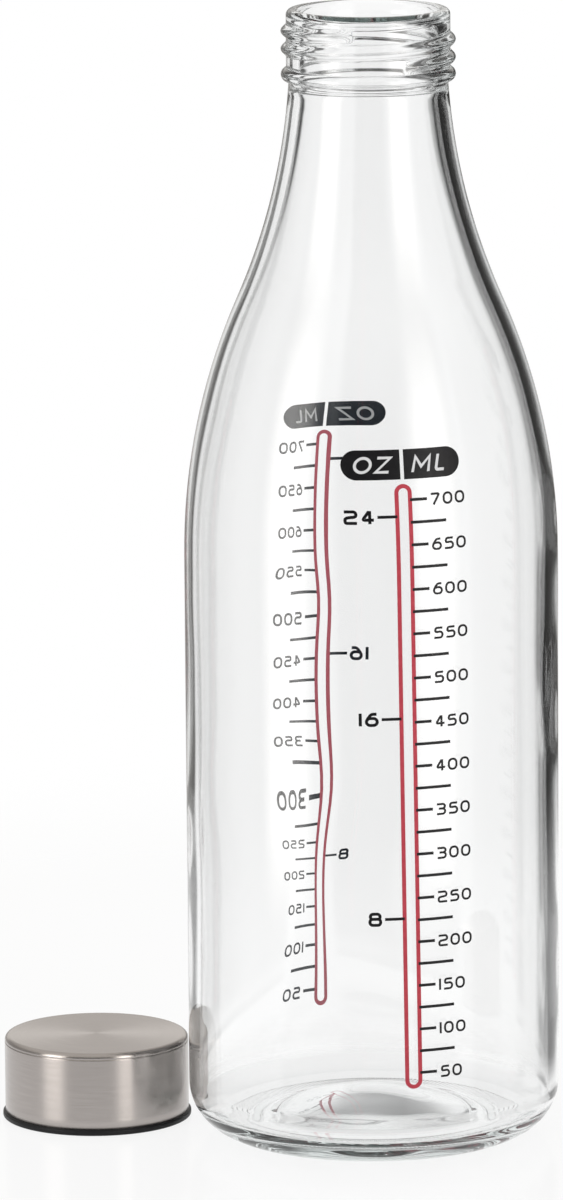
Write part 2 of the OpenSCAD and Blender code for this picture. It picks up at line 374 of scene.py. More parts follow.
def blown_glass_tree(flow_marks):
    """Knurls the foot, and makes the inside and its floor uneven, with a few stronger flow
    marks on the wall: direction in degrees to the right of the front, level, how wide, how
    high, and how much thinner the glass is there, or thicker where that is below 0."""
    tree, given, made = shape_tree("blown_glass", [
        "Knurls", "Knurl depth", "Unevenness", "Wave length", "Floor unevenness",
        "Floor wave length", "Floor height", "Floor radius", "Calm radius", "Seed",
        "Material"])
    x, y, z = point_parts(tree)
    radius = from_axis(tree, x, y)
    turn = reckon(tree, "ARCTAN2", y, x)
    uneven, knurled = [kept_value(tree, "FLOAT", name) for name in ("uneven", "knurled")]

    wave = reckon(tree, "COSINE", times(tree, turn, given["Knurls"]))
    lift = times(tree, plus(tree, wave, 1), times(tree, given["Knurl depth"], 0.5))
    lift = times(tree, lift, knurled)

    swirl = noise_at(tree, place(tree, x, y, 0), over(tree, 1, given["Floor wave length"]), 0)
    on_floor = times(tree, reckon(tree, "LESS_THAN", z, given["Floor height"]), uneven)
    inward = less(tree, 1, over(tree, radius, given["Floor radius"]))
    on_floor = times(tree, on_floor, reckon(tree, "MAXIMUM", 0, inward))
    settled = times(tree, less(tree, swirl, 0.5), given["Floor unevenness"])
    lift = plus(tree, lift, times(tree, settled, on_floor))

    wavy = new_node(tree, "ShaderNodeTexNoise", {
        "Vector": place(tree, x, y, times(tree, z, 0.8)), "W": given["Seed"],
        "Scale": over(tree, 1, given["Wave length"]), "Detail": 1},
        noise_dimensions="4D").outputs[0]
    bulge = times(tree, less(tree, wavy, 0.5), times(tree, given["Unevenness"], 2))
    for direction, level, wide, high, deep in flow_marks:
        side = less(tree, turn, math.radians(direction - 90))
        side = reckon(tree, "WRAP", side, math.pi, -math.pi)
        side = over(tree, times(tree, side, body_radius), wide)
        rise = over(tree, less(tree, z, level), high)
        far = plus(tree, times(tree, side, side), times(tree, rise, rise))
        mark = reckon(tree, "EXPONENT", times(tree, far, -0.5))
        bulge = plus(tree, bulge, times(tree, mark, deep))
    bulge = times(tree, bulge, uneven)
    share = over(tree, bulge, reckon(tree, "MAXIMUM", radius, given["Calm radius"]))
    finish_tree(tree, pushed_out(tree, given["Mesh"], x, y, share, lift), given["Material"], made)
    return tree


def new_material(name):
    """A material with its tree, its principled shader and its output."""
    material = bpy.data.materials.new(name)
    material.use_nodes = True
    nodes = material.node_tree.nodes
    return material, material.node_tree, nodes["Principled BSDF"], nodes["Material Output"]


def object_noise(tree, scale, detail, stretch=(1, 1, 1)):
    """Noise on the piece's own coordinates."""
    coordinates = new_node(tree, "ShaderNodeTexCoord").outputs["Object"]
    spread = new_node(tree, "ShaderNodeMapping", {"Vector": coordinates, "Scale": stretch})
    return noise_at(tree, spread.outputs[0], scale, detail)


def between(tree, value, low, high):
    """Maps 0 to 1 onto low to high."""
    return new_node(tree, "ShaderNodeMapRange", {
        "Value": value, "To Min": low, "To Max": high}).outputs[0]


def blend(tree, share, low, high, kind="RGBA"):
    """Turns one colour into another by the share, or one level where kind is FLOAT."""
    return new_node(tree, "ShaderNodeMix", {"Factor": share, "A": low, "B": high},
                    data_type=kind).outputs["Result"]


def bump(tree, value, depth):
    """Fine relief of that depth in the finish."""
    return new_node(tree, "ShaderNodeBump", {
        "Height": value, "Distance": depth, "Strength": 1}).outputs[0]


def any_of(tree, *rays):
    """1 if the ray is of any of these kinds."""
    path = new_node(tree, "ShaderNodeLightPath").outputs
    total = path[rays[0]]
    for ray in rays[1:]:
        total = reckon(tree, "MAXIMUM", total, path[ray])
    return total


def mixed_shaders(tree, share, first, second):
    """The first shader turning into the second by the share."""
    return new_node(tree, "ShaderNodeMixShader", {
        0: share, 1: first.outputs[0], 2: second.outputs[0]})


def clear_glass_material():
    """Clear glass, faintly grey-green through its thickness, with fine upright striae."""
    material, tree, glass, output = new_material("clear_glass")
    feed(tree, glass, {
        "Base Color": (1, 1, 1, 1), "Transmission Weight": 1, "Roughness": 0, "IOR": 1.5,
        "Normal": bump(tree, object_noise(tree, 220, 2, (1, 1, 0.12)), 0.004 * mm)})
    facing = new_node(tree, "ShaderNodeLayerWeight", {"Blend": 0.25}).outputs["Facing"]
    tint = blend(tree, facing, (0.86, 0.865, 0.865, 1), (0.62, 0.64, 0.64, 1))
    lets_light_by = new_node(tree, "ShaderNodeBsdfTransparent", {"Color": tint})
    soft_light = any_of(tree, "Is Shadow Ray", "Is Diffuse Ray")
    surface = mixed_shaders(tree, soft_light, glass, lets_light_by)
    inside = new_node(tree, "ShaderNodeVolumeAbsorption", {
        "Color": (0.50, 0.62, 0.60, 1), "Density": 7})
    feed(tree, output, {"Surface": surface.outputs[0], "Volume": inside.outputs[0]})
    return material


clear_glass = clear_glass_material()
outline = bottle_outline()
glass_mesh = turned_mesh("bottle_glass", outline)
for name, index in (("uneven", 3), ("knurled", 4)):
    glass_mesh.attributes.new(name, "FLOAT", "POINT").data.foreach_set(
        "value", ring_values(outline, index))
bottle = new_piece("bottle_glass", glass_mesh)
screw_thread = thread_tree()
thread = {"Stand-out": 1.2 * mm, "Pitch": 4 * mm, "Start direction": math.radians(-65),
          "Fade": 0.07, "Wall tolerance": 0.05 * mm}
shape_with(bottle, screw_thread, {
    **thread,
    "Wall radius": finish_radius,
    "Side": 1.0,
    "Ridge height": 3.2 * mm,
    "Turns": 1.9,
    "Lower end": height - 11.6 * mm,
    "Centre X": 0.0,
    "Centre Y": 0.0,
    "Material": clear_glass,
})
blown_glass = blown_glass_tree([
    (-28, 86 * mm, 12 * mm, 7.5 * mm, -0.8 * mm),
    (-19, 67 * mm, 10.5 * mm, 16 * mm, 1.4 * mm),
    (-24, 129 * mm, 5 * mm, 5 * mm, -0.15 * mm),
    (-23, 151 * mm, 5 * mm, 28 * mm, 0.25 * mm),
    (-22, 181 * mm, 25 * mm, 6 * mm, -0.12 * mm),
    (-22, 169.5 * mm, 25 * mm, 5.5 * mm, 0.12 * mm),
    (90, 94 * mm, 3.5 * mm, 4 * mm, 0.55 * mm),
    (78, 106 * mm, 3.5 * mm, 6 * mm, -0.25 * mm),
    (90, 141 * mm, 3.5 * mm, 5 * mm, 0.4 * mm),
    (90, 38 * mm, 3.5 * mm, 6 * mm, 0.5 * mm),
    (-90, 69 * mm, 3.5 * mm, 5 * mm, 0.5 * mm),
    (-90, 42 * mm, 3.5 * mm, 14 * mm, 0.35 * mm),
])
shape_with(bottle, blown_glass, {
    "Knurls": float(knurls),
    "Knurl depth": 0.5 * mm,
    "Unevenness": 0.15 * mm,
    "Wave length": 34 * mm,
    "Floor unevenness": 4 * mm,
    "Floor wave length": 22 * mm,
    "Floor height": 12 * mm,
    "Floor radius": inner_dome_radius,
    "Calm radius": 8 * mm,
    "Seed": 4.0,
    "Material": clear_glass,
})
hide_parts("glass_bottle")
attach(bottle, "bottle")

# The fired prints
# Two scales in ceramic enamel, screen-printed on the outside of the glass and fired on: a red
# tube outline, black marks and numerals, and a black plate with white letters. One scale is on
# the front and one on the back, so each shows its back through the bottle.
mark_step = 9.95 * mm
mark_volume = 50
marks = 14
zero_z = 12.75 * mm
ounces_a_mark = 8
volume_of_ounces = 227.3
ounce_step = mark_step * volume_of_ounces / mark_volume
ounce_marks = 3
tube_wide = 3.9 * mm
tube_line = 0.92 * mm
tube_below = 3.6 * mm
tube_above = 3.5 * mm
tube_low = zero_z + mark_step - tube_below
tube_high = zero_z + marks * mark_step + tube_above
print_middle = (tube_low + tube_high) / 2
mark_thick = 0.65 * mm
short_mark = 3.4 * mm
long_mark = 7.7 * mm
ounce_mark = 3.9 * mm
plate_wide = 26.5 * mm
plate_high = 6.5 * mm
plate_low = tube_high + 1 * mm
plate_gap = 0.8 * mm
letter_high = 3.7 * mm
letter_thick = 0.62 * mm


def enamel_material(name, colour, pale, underside_painted_light):
    """Satin enamel, a little thinner and paler in patches, with the grain of the screen. Its
    underside on the glass is painted paler, as painted light for the light that reaches it
    through the bottle, and its letters are in white enamel."""
    material, tree, enamel, output = new_material(name)
    ink = blend(tree, between(tree, object_noise(tree, 700, 3), -0.3, 1), colour, pale)
    surface = new_node(tree, "ShaderNodeNewGeometry").outputs
    x, y, z = parts_of(tree, surface["Position"])
    facing = new_node(tree, "ShaderNodeVectorMath", {
        0: place(tree, x, y, 0), 1: surface["True Normal"]}, operation="DOT_PRODUCT")
    # Painted light: faces turned to the axis, the underside on the glass, get the paler underside
    # colour.
    ink = blend(tree, reckon(tree, "LESS_THAN", facing.outputs["Value"], 0), ink, underside_painted_light)
    letter = new_node(tree, "ShaderNodeAttribute", attribute_name="letter").outputs["Fac"]
    feed(tree, enamel, {
        "Base Color": blend(tree, letter, ink, (0.62, 0.62, 0.63, 1)),
        "Roughness": between(tree, object_noise(tree, 900, 2), 0.3, 0.5),
        "Specular IOR Level": 0.2,
        "Normal": bump(tree, object_noise(tree, 3500, 2), 0.01 * mm)})
    return material


def fired_enamel_tree():
    """Lays flat artwork, its numerals and its marks on the glass as a thin fired-on layer.
    x runs to the right and y up from the foot; the depth of the layer follows the glass."""
    tree, given, made = shape_tree("fired_enamel", [
        "Marks", "First mark", "Mark step", "Mark start", "Even mark", "Odd mark",
        "Mark thickness", "Turn", "Slant", "Drop", "Print middle", "Sunk", "Proud", "Material",
        "Numerals"])
    numeral = kept_value(tree, "INT", "numeral")
    is_numeral = reckon(tree, "GREATER_THAN", numeral, 0.5)

    shapes = new_node(tree, "GeometryNodeCollectionInfo", {
        "Collection": given["Numerals"], "Separate Children": True, "Reset Children": True})
    written = new_node(tree, "GeometryNodeInstanceOnPoints", {
        "Points": given["Mesh"], "Selection": is_numeral, "Instance": shapes.outputs[0],
        "Pick Instance": True, "Instance Index": less(tree, numeral, 1)})
    drawn = new_node(tree, "GeometryNodeDeleteGeometry", {
        "Geometry": given["Mesh"], "Selection": is_numeral})

    ladder = new_node(tree, "GeometryNodeMeshLine", {
        "Count": given["Marks"],
        "Start Location": place(tree, given["Mark start"], given["First mark"], 0),
        "Offset": place(tree, 0, given["Mark step"], 0)})
    bar = new_node(tree, "GeometryNodeMeshGrid", {
        "Size X": 1, "Size Y": 1, "Vertices X": 10, "Vertices Y": 2})
    from_end = new_node(tree, "GeometryNodeTransform", {
        "Geometry": bar.outputs[0], "Translation": (0.5, 0, 0)})
    odd = reckon(tree, "MODULO", new_node(tree, "GeometryNodeInputIndex").outputs[0], 2)
    length = plus(tree, given["Even mark"],
                  times(tree, odd, less(tree, given["Odd mark"], given["Even mark"])))
    rungs = new_node(tree, "GeometryNodeInstanceOnPoints", {
        "Points": ladder.outputs[0], "Instance": from_end.outputs[0],
        "Scale": place(tree, length, given["Mark thickness"], 1)})

    gathered = new_node(tree, "GeometryNodeJoinGeometry")
    for part in (drawn, written, rungs):
        tree.links.new(part.outputs[0], gathered.inputs[0])
    flat = new_node(tree, "GeometryNodeRealizeInstances", {"Geometry": gathered.outputs[0]})
    raised = new_node(tree, "GeometryNodeExtrudeMesh", {
        "Mesh": flat.outputs[0], "Individual": False,
        "Offset": place(tree, 0, 0, plus(tree, given["Sunk"], given["Proud"]))})
    under = new_node(tree, "GeometryNodeFlipFaces", {"Mesh": flat.outputs[0]})
    layer = new_node(tree, "GeometryNodeJoinGeometry")
    for part in (raised, under):
        tree.links.new(part.outputs["Mesh"], layer.inputs[0])
    whole = new_node(tree, "GeometryNodeMergeByDistance", {
        "Geometry": layer.outputs[0], "Distance": 0.001 * mm})

    x, y, depth = point_parts(tree)
    y = less(tree, y, given["Print middle"])
    cosine, sine = reckon(tree, "COSINE", given["Slant"]), reckon(tree, "SINE", given["Slant"])
    across = less(tree, times(tree, x, cosine), times(tree, y, sine))
    up = plus(tree, times(tree, x, sine), times(tree, y, cosine))
    up = less(tree, plus(tree, up, given["Print middle"]), given["Drop"])
    above = reckon(tree, "MAXIMUM", less(tree, up, shoulder_z), 0)
    glass = reckon(tree, "SQRT", less(tree, round_radius ** 2, times(tree, above, above)))
    radius = plus(tree, glass, body_radius - round_radius)
    radius = plus(tree, less(tree, radius, given["Sunk"]), depth)
    front = reckon(tree, "SQRT",
                   less(tree, times(tree, radius, radius), times(tree, across, across)))
    on_glass = place(tree, across, times(tree, front, -1), up)
    turned = new_node(tree, "ShaderNodeVectorRotate", {
        "Vector": on_glass, "Angle": given["Turn"]}, rotation_type="Z_AXIS")
    laid = new_node(tree, "GeometryNodeSetPosition", {
        "Geometry": whole.outputs[0], "Position": turned.outputs[0]})
    finish_tree(tree, laid.outputs[0], given["Material"], made)
    return tree


def softened(path, corner, closed=False):
    """The path with its corners rounded off, up to corner from each."""
    done = []
    count, steps = len(path), 5
    apart = 0.001 * mm
    for i, point in enumerate(path):
        here = Vector(point)
        if not closed and i in (0, count - 1):
            done.append(here)
            continue
        before, after = Vector(path[i - 1]), Vector(path[(i + 1) % count])
        cut = min(corner, (before - here).length * 0.5, (after - here).length * 0.5)
        start = here + (before - here).normalized() * cut
        end = here + (after - here).normalized() * cut
        for k in range(steps + 1):
            t = k / steps
            done.append(start * (1 - t) ** 2 + here * 2 * t * (1 - t) + end * t ** 2)
    spaced = [done[0]]
    for point in done[1:]:
        if (point - spaced[-1]).length > apart:
            spaced.append(point)
    if closed and (spaced[0] - spaced[-1]).length < apart:
        spaced.pop()
    return spaced


def stroke(path, wide, closed=False):
    """Outlines of a pen stroke of that width along a path, as one loop, or two if closed."""
    left, right = [], []
    count = len(path)
    for i, here in enumerate(path):
        before = path[i - 1] if closed or i else None
        after = path[(i + 1) % count] if closed or i < count - 1 else None
        into = (here - before).normalized() if before is not None else None
        out = (after - here).normalized() if after is not None else None
        into, out = into or out, out or into
        middle = into + out
        middle = Vector((-middle.y, middle.x)).normalized()
        side = Vector((-into.y, into.x))
        reach = wide / 2 / max(0.5, middle.dot(side))
        left.append(here + middle * reach)
        right.append(here - middle * reach)
    return [left, right] if closed else [left + right[::-1]]


def filled(points, faces, loops):
    """Adds the face or faces inside the loops to a flat mesh, facing +Z."""
    loops = [[Vector((p[0], p[1], 0)) for p in loop] for loop in loops]
    corners = [p for loop in loops for p in loop]
    first = len(points)
    points += [tuple(p) for p in corners]
    for a, b, c in tessellate_polygon(loops):
        turn = (corners[b] - corners[a]).cross(corners[c] - corners[a]).z
        faces.append([first + i for i in ((a, b, c) if turn > 0 else (a, c, b))])


def numeral_strokes(sign):
    """Middle lines of a numeral's strokes, in a box one wide and one high: path, closed."""
    ring = [(0, 0.25), (0, 0.75), (0.25, 1), (0.75, 1), (1, 0.75), (1, 0.25), (0.75, 0), (0.25, 0)]
    bowl = [(0, 0.2), (0, 0.42), (0.2, 0.62), (0.8, 0.62), (1, 0.42), (1, 0.2), (0.8, 0),
            (0.2, 0)]
    return {
        "0": [(ring, True)],
        "1": [([(0.5, -0.07), (0.5, 1.07)], False)],
        "2": [([(-0.08, 1), (0.85, 1), (1, 0.85), (1, 0.62), (0.8, 0.53), (0.2, 0.48),
                (0, 0.38), (0, 0), (1.08, 0)], False)],
        "3": [([(-0.05, 1), (0.8, 1), (0.98, 0.85), (0.98, 0.68), (0.75, 0.54),
                (0.2, 0.54)], False),
              ([(0.7, 0.54), (1, 0.4), (1, 0.15), (0.8, 0), (-0.05, 0)], False)],
        "4": [([(0.62, 1.02), (0.02, 0.27), (1.08, 0.27)], False),
              ([(0.7, 1.07), (0.7, -0.07)], False)],
        "5": [([(1, 1), (0.12, 1), (0.06, 0.57), (0.8, 0.6), (1, 0.42), (1, 0.18),
                (0.8, 0), (-0.05, 0)], False)],
        "6": [(bowl, True), ([(0.95, 1), (0.45, 1), (0.06, 0.52)], False)],
        "7": [([(-0.05, 1), (1, 1), (0.25, -0.07)], False)],
        "8": [([(0, 0.15), (0, 0.4), (0.15, 0.54), (0.85, 0.54), (1, 0.4), (1, 0.15),
                (0.85, 0), (0.15, 0)], True),
              ([(0.15, 0.54), (0.05, 0.66), (0.05, 0.86), (0.2, 1), (0.8, 1), (0.95, 0.86),
                (0.95, 0.66), (0.85, 0.54)], False)],
    }[sign]


def numeral_shapes(name, signs, high, wide, thick):
    """A collection of flat numerals of one size, in the order of their signs."""
    shapes = bpy.data.collections.new(name)
    for sign in signs:
        points, faces = [], []
        broad = 0 if sign == "1" else wide - thick
        for path, closed in numeral_strokes(sign):
            line = [(thick / 2 + x * broad, (y - 0.5) * (high - thick)) for x, y in path]
            line = softened(line, 0.28 * high if closed else 0.16 * high, closed)
            filled(points, faces, stroke(line, thick, closed))
        mesh = bpy.data.meshes.new(f"{name}_{sign}")
        mesh.from_pydata(points, [], faces)
        shapes.objects.link(bpy.data.objects.new(f"{name}_{sign}", mesh))
    return shapes


def written_at(labels, wide, thick, gap, signs):
    """Points for the numerals of the labels: text, level, x of its left or right end, and
    whether that is the right one."""
    points, kinds = [], []
    for text, level, x, from_right in labels:
        widths = [thick if sign == "1" else wide for sign in text]
        if from_right:
            x -= sum(widths) + gap * (len(text) - 1)
        for sign, room in zip(text, widths):
            points.append((x, level, 0))
            kinds.append(signs.index(sign) + 1)
            x += room + gap
    mesh = bpy.data.meshes.new("numeral_points")
    mesh.from_pydata(points, [], [])
    mesh.attributes.new("numeral", "INT", "POINT").data.foreach_set("value", kinds)
    return mesh


def cut_across(mesh, step):
    """Cuts a flat mesh along upright and level lines, so that it can bend with the glass."""
    work = bmesh.new()
    work.from_mesh(mesh)
    corners = [vertex.co.copy() for vertex in work.verts]
    low, high = Vector(map(min, *corners)), Vector(map(max, *corners))
    for axis, normal in enumerate((Vector((1, 0, 0)), Vector((0, 1, 0)))):
        for i in range(1, int((high[axis] - low[axis]) / step) + 1):
            bmesh.ops.bisect_plane(work, geom=work.verts[:] + work.edges[:] + work.faces[:],
                                   plane_co=normal * (low[axis] + i * step), plane_no=normal)
    bmesh.ops.remove_doubles(work, verts=work.verts, dist=0.001 * mm)
    work.to_mesh(mesh)
    work.free()
    return mesh


def letter_loops(sign, x, low, wide):
    """Outlines of a slanted letter, its left foot at x."""
    lean = 0.2
    thick, tall = letter_thick, letter_high - letter_thick
    paths = {
        "O": ([(0, 0.3), (0, 0.7), (0.3, 1), (0.7, 1), (1, 0.7), (1, 0.3), (0.7, 0), (0.3, 0)],
              True),
        "Z": ([(0, 1), (1, 1), (0, 0), (1, 0)], False),
        "M": ([(0, -0.08), (0.04, 1), (0.5, 0.3), (0.96, 1), (1, -0.08)], False),
        "L": ([(0, 1.08), (0, 0.12), (0.12, 0), (1, 0)], False),
    }
    path, closed = paths[sign]
    line = [(x + thick / 2 + u * (wide - thick), low + thick / 2 + v * tall) for u, v in path]
    if closed:
        line = softened(line, 0.35 * tall, True)
    elif sign == "L":
        line = softened(line, 0.1 * tall)
    else:
        line = [Vector(p) for p in line]
    loops = stroke(line, thick, closed)
    middle = low + letter_high / 2
    return [[(p[0] + lean * (p[1] - middle), p[1]) for p in loop] for loop in loops]


def plate_mesh():
    """The header plate: two black halves with white letters, each with its left foot and its
    width in mm."""
    points, faces, inked = [], [], []
    end = plate_high / 2
    middle = plate_low + end
    low = middle - letter_high / 2
    edge, far = plate_gap / 2, plate_wide / 2 - end
    for side, letters in ((-1, (("O", -10.6, 4.0), ("Z", -5.9, 3.5))),
                          (1, (("M", 2.4, 4.2), ("L", 7.7, 2.5)))):
        loop = [(side * edge, plate_low)] + [
            (side * x, z) for x, z in arc(far, middle, end, -90, 90, 20)]
        loop += [(side * edge, plate_low + plate_high)]
        letters = [letter_loops(sign, x * mm, low, wide * mm) for sign, x, wide in letters]
        filled(points, faces, [loop] + [hole for letter in letters for hole in letter])
        plain = len(faces)
        for letter in letters:
            filled(points, faces, letter)
        inked += [0] * (plain - len(inked)) + [1] * (len(faces) - plain)
    mesh = bpy.data.meshes.new("header_plate")
    mesh.from_pydata(points, [], faces)
    mesh.attributes.new("letter", "FLOAT", "FACE").data.foreach_set("value", inked)
    return cut_across(mesh, 1.2 * mm)


def tube_mesh():
    """The outline of a thermometer-like tube with round ends."""
    points, faces, loops = [], [], []
    for inset in (0, tube_line):
        radius = tube_wide / 2 - inset
        loop = arc(0, tube_high - tube_wide / 2, radius, 0, 180, 20)
        loop += arc(0, tube_low + tube_wide / 2, radius, 180, 360, 20)
        loops.append(loop)
    filled(points, faces, loops)
    mesh = bpy.data.meshes.new("tube_outline")
    mesh.from_pydata(points, [], faces)
    return cut_across(mesh, 2 * mm)


# The last colour of each enamel is the underside's painted light, paler for the light that reaches
# it through the bottle.
black_enamel = enamel_material("black_enamel", (0.004, 0.004, 0.005, 1), (0.010, 0.009, 0.011, 1),
                               (0.010, 0.017, 0.028, 1))
red_enamel = enamel_material("red_enamel", (0.40, 0.038, 0.058, 1), (0.50, 0.065, 0.088, 1),
                             (0.66, 0.10, 0.15, 1))
fine_signs, bold_signs = "01234567", "12468"
fine_high, fine_wide, fine_thick, fine_gap = 2.7 * mm, 2.3 * mm, 0.48 * mm, 0.55 * mm
bold_high, bold_wide, bold_thick, bold_gap = 3.2 * mm, 3 * mm, 0.68 * mm, 0.65 * mm
fine_numerals = numeral_shapes("fine", fine_signs, fine_high, fine_wide, fine_thick)
bold_numerals = numeral_shapes("bold", bold_signs, bold_high, bold_wide, bold_thick)
fine_drop, fine_away, bold_away = 0.15 * mm, 0.8 * mm, 0.65 * mm
fired_enamel = fired_enamel_tree()
mark_start = tube_wide / 2 - tube_line / 2
fine_labels = [(str(mark_volume * i), zero_z + i * mark_step - fine_drop,
                tube_wide / 2 + short_mark + fine_away, False)
               for i in range(1, marks + 1)]
bold_labels = [(str(ounces_a_mark * i), zero_z + i * ounce_step,
                -tube_wide / 2 - ounce_mark - bold_away, True)
               for i in range(1, ounce_marks + 1)]

for side, turn, slant, drop in (("front", 10.7, 0.65, 0.0), ("rear", 195.6, 1.15, 1.0)):
    laying = {"Turn": math.radians(turn), "Slant": math.radians(slant), "Drop": drop * mm,
              "Print middle": print_middle, "Mark thickness": mark_thick,
              "Numerals": fine_numerals, "Marks": 0.0, "Sunk": 0.02 * mm, "Proud": 0.08 * mm,
              "Material": black_enamel}
    header = new_piece(f"{side}_header_plate", plate_mesh())
    shape_with(header, fired_enamel, laying)
    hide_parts(f"{side}_header")
    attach(header, "bottle")

    tube = new_piece(f"{side}_tube_outline", tube_mesh())
    shape_with(tube, fired_enamel, {**laying, "Sunk": 0.03 * mm, "Proud": 0.07 * mm,
                                    "Material": red_enamel})
    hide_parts(f"{side}_tube")
    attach(tube, "bottle")

    millilitres = new_piece(f"{side}_ml_scale", written_at(
        fine_labels, fine_wide, fine_thick, fine_gap, fine_signs))
    shape_with(millilitres, fired_enamel, {
        **laying, "Marks": float(2 * marks - 1), "First mark": zero_z + mark_step,
        "Mark step": mark_step / 2, "Mark start": mark_start,
        "Even mark": short_mark + tube_line / 2, "Odd mark": long_mark + tube_line / 2})
    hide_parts(f"{side}_ml_marks")
    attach(millilitres, "bottle")

    ounces = new_piece(f"{side}_oz_scale", written_at(
        bold_labels, bold_wide, bold_thick, bold_gap, bold_signs))
    shape_with(ounces, fired_enamel, {
        **laying, "Numerals": bold_numerals, "Marks": float(ounce_marks),
        "First mark": zero_z + ounce_step, "Mark step": ounce_step,
        "Mark start": -tube_wide / 2 - ounce_mark,
        "Even mark": ounce_mark + tube_line / 2, "Odd mark": ounce_mark + tube_line / 2})
    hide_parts(f"{side}_oz_marks")
    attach(ounces, "bottle")

# The cap's steel shell
# Thin stainless sheet, drawn to a cup and rolled round its top edge, with a fine groove under
# the roll. The top is spun-brushed in rings and the side is brushed round. It is pressed over
# the plastic insert.
cap_low, cap_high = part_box("cap_shell")
cap_middle = ((cap_low[0] + cap_high[0]) / 2, (cap_low[1] + cap_high[1]) / 2)
cap_height = 19 * mm
cap_radius = 21 * mm
sheet = 0.4 * mm
roll_radius = 1.2 * mm
groove_wide = 0.4 * mm
groove_deep = 0.15 * mm
cut_edge = 0.05 * mm
flange_high = 1.4 * mm
cap_segments = 256


def brushed_steel_material():
    """Brushed stainless steel: fine rings in the finish, streaks that run round the cap."""
    material, tree, steel, output = new_material("brushed_steel")
    coordinates = new_node(tree, "ShaderNodeTexCoord").outputs["Object"]
    centred = new_node(tree, "ShaderNodeMapping", {
        "Vector": coordinates, "Location": (-cap_middle[0], -cap_middle[1], 0)})
    x, y, z = parts_of(tree, centred.outputs[0])
    radius = from_axis(tree, x, y)
    turn = over(tree, reckon(tree, "ARCTAN2", y, x), 2 * math.pi)
    grain, streaks = [
        noise_at(tree, place(tree, radius, times(tree, turn, stretch), z), lines, 2)
        for stretch, lines in ((0.004, 4200), (0.002, 1500))]
    feed(tree, steel, {
        "Metallic": 1, "Anisotropic": 0.8, "Anisotropic Rotation": 0.25,
        "Tangent": new_node(tree, "ShaderNodeTangent", direction_type="RADIAL",
                            axis="Z").outputs[0],
        "Base Color": blend(tree, grain, (0.40, 0.37, 0.35, 1), (0.48, 0.445, 0.425, 1)),
        "Roughness": between(tree, streaks, 0.24, 0.28),
        "Normal": bump(tree, grain, 0.0015 * mm)})
    return material


def shell_outline():
    """The sheet in section: from the axis down its inside, and back up over its outside, with
    close rings beside the groove, where the long side starts."""
    groove_z = cap_height - roll_radius - groove_wide
    corner = (cap_radius - roll_radius, cap_height - roll_radius)
    outline = [(0, cap_height - sheet)]
    outline += arc(*corner, roll_radius - sheet, 0, 90, 10)[::-1]
    outline += [(cap_radius - sheet, flange_high), (cap_radius - cut_edge, flange_high)]
    outline += upright(cap_radius, flange_high + cut_edge, groove_z - 0.2 * mm, 8)
    outline += [(cap_radius, groove_z - 0.08 * mm), (cap_radius, groove_z)]
    outline += [(cap_radius - groove_deep * deep, groove_z + groove_wide * high)
                for deep, high in ((0.7, 0.3), (1, 0.5), (0.7, 0.7))]
    outline += arc(*corner, roll_radius, 0, 90, 14)
    return outline + [(x, cap_height) for x in (16 * mm, 12 * mm, 8 * mm, 4 * mm, 0)]


def cap_piece(name, outline):
    """A piece of the cap, turned round the cap's own axis."""
    rings = [(x, z, cap_segments) for x, z in outline]
    return new_piece(name, turned_mesh(name, rings, cap_middle))


shell = cap_piece("steel_shell", shell_outline())
shell.data.materials.append(brushed_steel_material())
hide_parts("cap_shell")
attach(shell, "cap")

# The cap's threaded insert
# Black polypropylene, moulded in one shot: a cup with the screw thread inside, and a flange
# that the edge of the steel shell sits on.
insert_root = 19.85 * mm
insert_roof = cap_height - sheet - 1 * mm
flange_radius = cap_radius + 0.55 * mm
insert_fillet = 0.5 * mm
insert_lead = 0.2 * mm
shell_clear = 0.02 * mm


def black_plastic_material():
    """Satin black plastic with a faint moulded grain."""
    material, tree, plastic, output = new_material("black_plastic")
    feed(tree, plastic, {
        "Base Color": blend(tree, object_noise(tree, 1500, 3), (0.006, 0.006, 0.0065, 1),
                            (0.014, 0.014, 0.015, 1)),
        "Roughness": between(tree, object_noise(tree, 600, 2), 0.35, 0.5),
        "Specular IOR Level": 0.2,
        "Normal": bump(tree, object_noise(tree, 5000, 2), 0.01 * mm)})
    return material


def insert_outline():
    """The cup in section: from the axis down its inside, round the flange and up inside the
    shell, clear of it."""
    edge = flange_high / 3
    outline = [(x, insert_roof) for x in (0, 6 * mm, 12 * mm)]
    outline += arc(insert_root - insert_fillet, insert_roof - insert_fillet, insert_fillet,
                   90, 0, 4)
    outline += upright(insert_root, insert_lead, insert_roof - 0.6 * mm, 64)[::-1]
    outline += [(insert_root + insert_lead, 0)]
    outline += arc(flange_radius - edge, edge, edge, -90, 0, 6)
    outline += arc(flange_radius - edge, flange_high - edge, edge, 0, 90, 6)
    outline += [(cap_radius - sheet - shell_clear, flange_high)]
    outline += arc(cap_radius - roll_radius, cap_height - roll_radius,
                   roll_radius - sheet - shell_clear, 0, 90, 8)
    return outline + [(0, cap_height - sheet - shell_clear)]


black_plastic = black_plastic_material()
insert = cap_piece("threaded_insert", insert_outline())
shape_with(insert, screw_thread, {
    **thread,
    "Wall radius": insert_root,
    "Side": -1.0,
    "Ridge height": 3.0 * mm,
    "Turns": 1.3,
    "Lower end": flange_high + 1.25 * mm,
    "Centre X": cap_middle[0],
    "Centre Y": cap_middle[1],
    "Material": black_plastic,
})
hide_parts("cap_insert")
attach(insert, "cap")

# The sealing disc
# A white foam disc, cut from sheet, that lies loose under the insert's roof and seals on the
# bottle's rim. It has a smooth skin and a faint ring where the rim presses.
seal_thick = 1.2 * mm
seal_radius = 19.5 * mm
seal_low = insert_roof - seal_thick
seal_top = insert_roof - 0.01 * mm
seal_edge = 0.2 * mm


